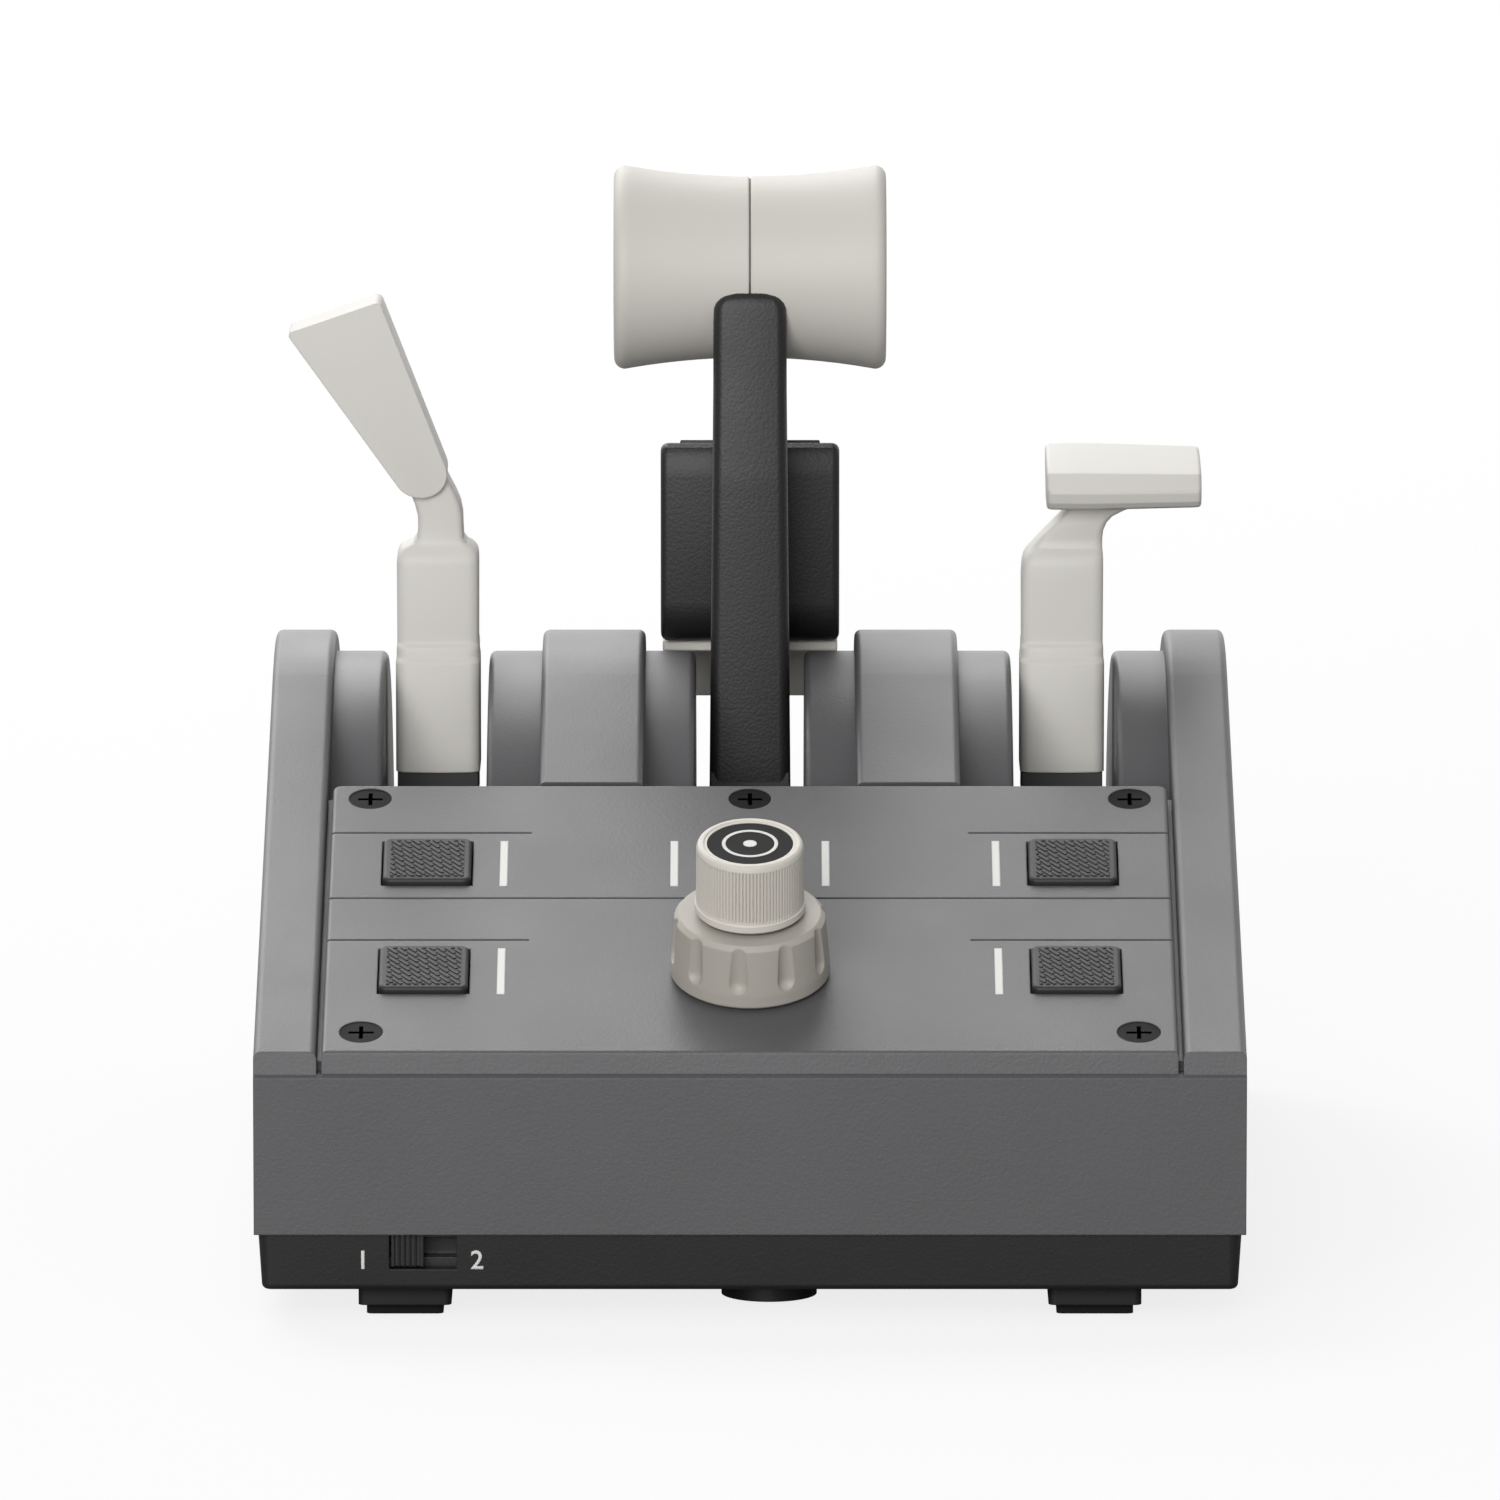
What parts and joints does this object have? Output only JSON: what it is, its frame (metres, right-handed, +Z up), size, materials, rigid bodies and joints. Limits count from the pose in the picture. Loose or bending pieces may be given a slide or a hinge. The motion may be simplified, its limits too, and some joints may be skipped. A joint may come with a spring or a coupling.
{
  "type": "desktop throttle quadrant",
  "caption": "Desk-standing flight-simulator throttle quadrant: wedge console with arched fins, sloping button panel, concentric knobs, and speed-brake, thrust and flap levers.",
  "frame": {"origin": "on the desk plane under the middle of the console's footprint", "axes": "+X across the console to the user's right, +Y away from the user, +Z up"},
  "size_m": [0.165, 0.214, 0.1735],
  "materials": {
    "housing_grey": "fine moulded grain",
    "panel_grey": "fine moulded grain",
    "tray_black": "fine moulded grain",
    "foot_black": "smooth",
    "rubber_black": "matt",
    "screw_black": "black oxide",
    "steel": "turned",
    "steel_plate": "zinc plated",
    "brass": "turned",
    "inner_black": "moulded",
    "washer_nylon": "smooth",
    "board_green": "solder mask",
    "socket_metal": "plated",
    "switch_black": "satin",
    "knob_ivory": "satin",
    "cap_black": "satin",
    "button_rubber": "fine woven relief",
    "hub_black": "satin",
    "magnet": "plated",
    "lever_white": "satin",
    "grip_white": "satin",
    "bar_black": "leather grain",
    "tail_beige": "satin"
  },
  "bodies": {
    "console": {"base_tray": "tray_black", "upper_housing": "housing_grey", "control_panel": "panel_grey", "panel_screws": "screw_black", "housing_screws": "steel", "pan_screws": "steel", "board_screws": "steel", "foot_blocks": "foot_black", "rubber_feet": "rubber_black", "mount_insert": "brass", "ballast_plate": "steel_plate", "speedbrake_yoke": "inner_black", "thrust_yoke": "inner_black", "flap_yoke": "inner_black", "lever_axle": "steel", "axle_rings": "steel", "axle_bushes": "brass", "friction_washers": "washer_nylon", "sensor_boards": "board_green", "main_board": "board_green", "panel_board": "board_green", "board_standoffs": "inner_black", "data_socket": "socket_metal", "tact_switches": "switch_black", "speedbrake_channel_floor": "inner_black", "thrust_channel_floor": "inner_black", "flap_channel_floor": "inner_black", "encoder_body": "switch_black", "encoder_nut": "steel", "slide_switch_body": "switch_black"},
    "speedbrake_lever": {"speedbrake_hub": "hub_black", "speedbrake_magnet": "magnet", "speedbrake_stem": "lever_white", "speedbrake_handle": "lever_white"},
    "flap_lever": {"flap_hub": "hub_black", "flap_magnet": "magnet", "flap_stem": "lever_white", "flap_handle": "lever_white"},
    "thrust_lever": {"thrust_hub": "hub_black", "thrust_magnet": "magnet", "thrust_bar": "bar_black", "grip_left": "grip_white", "grip_right": "grip_white", "reverser_pin": "steel"},
    "reverse_lever": {"reverse_handle": "bar_black", "reverse_tail": "tail_beige"},
    "end_push_left": {"end_button_left": "grip_white"},
    "end_push_right": {"end_button_right": "grip_white"},
    "mode_ring": {"selector_ring": "knob_ivory"},
    "knob_spindle": {"encoder_shaft": "steel"},
    "select_push": {"select_knob": "knob_ivory", "knob_cap": "cap_black"},
    "engine_slider": {"engine_slide_switch": "switch_black"},
    "push_upper_left": {"button_upper_left": "button_rubber"},
    "push_upper_right": {"button_upper_right": "button_rubber"},
    "push_lower_left": {"button_lower_left": "button_rubber"},
    "push_lower_right": {"button_lower_right": "button_rubber"}
  },
  "joints": [
    {"name": "speedbrake_lever_swing", "type": "hinge", "parent": "console", "child": "speedbrake_lever", "pos_m": [-0.0542, 0.041, 0.0255], "axis": [1, 0, 0], "range_deg": [-36, 36]},
    {"name": "thrust_lever_swing", "type": "hinge", "parent": "console", "child": "thrust_lever", "pos_m": [0, 0.041, 0.0255], "axis": [1, 0, 0], "range_deg": [-36, 36]},
    {"name": "flap_lever_swing", "type": "hinge", "parent": "console", "child": "flap_lever", "pos_m": [0.0542, 0.041, 0.0255], "axis": [1, 0, 0], "range_deg": [-36, 36]},
    {"name": "reverse_lift", "type": "hinge", "parent": "thrust_lever", "child": "reverse_lever", "pos_m": [0, 0.059, 0.116], "axis": [1, 0, 0], "range_deg": [0, 55], "stiffness_Nm_per_rad": 0.12, "springref_deg": -20.05},
    {"name": "end_left_press", "type": "slide", "parent": "thrust_lever", "child": "end_push_left", "axis": [1, 0, 0], "range_m": [0, 0.001], "stiffness_N_per_m": 900, "springref_m": -0.001},
    {"name": "end_right_press", "type": "slide", "parent": "thrust_lever", "child": "end_push_right", "axis": [-1, 0, 0], "range_m": [0, 0.001], "stiffness_N_per_m": 900, "springref_m": -0.001},
    {"name": "upper_left_press", "type": "slide", "parent": "console", "child": "push_upper_left", "axis": [0, 0.3214, -0.9469], "range_m": [0, 0.0008], "stiffness_N_per_m": 900, "springref_m": -0.001},
    {"name": "upper_right_press", "type": "slide", "parent": "console", "child": "push_upper_right", "axis": [0, 0.3214, -0.9469], "range_m": [0, 0.0008], "stiffness_N_per_m": 900, "springref_m": -0.001},
    {"name": "lower_left_press", "type": "slide", "parent": "console", "child": "push_lower_left", "axis": [0, 0.3214, -0.9469], "range_m": [0, 0.0008], "stiffness_N_per_m": 900, "springref_m": -0.001},
    {"name": "lower_right_press", "type": "slide", "parent": "console", "child": "push_lower_right", "axis": [0, 0.3214, -0.9469], "range_m": [0, 0.0008], "stiffness_N_per_m": 900, "springref_m": -0.001},
    {"name": "mode_ring_turn", "type": "hinge", "parent": "console", "child": "mode_ring", "pos_m": [0, -0.08042, 0.05398], "axis": [0, -0.3214, 0.9469], "range_deg": [-30, 30]},
    {"name": "knob_spin", "type": "hinge", "parent": "console", "child": "knob_spindle", "pos_m": [0, -0.08042, 0.05398], "axis": [0, -0.3214, 0.9469], "continuous": true},
    {"name": "knob_press", "type": "slide", "parent": "knob_spindle", "child": "select_push", "axis": [0, 0.3214, -0.9469], "range_m": [0, 0.0005], "stiffness_N_per_m": 1500, "springref_m": -0.001},
    {"name": "engine_select_slide", "type": "slide", "parent": "console", "child": "engine_slider", "axis": [1, 0, 0], "range_m": [0, 0.0052]}
  ]
}
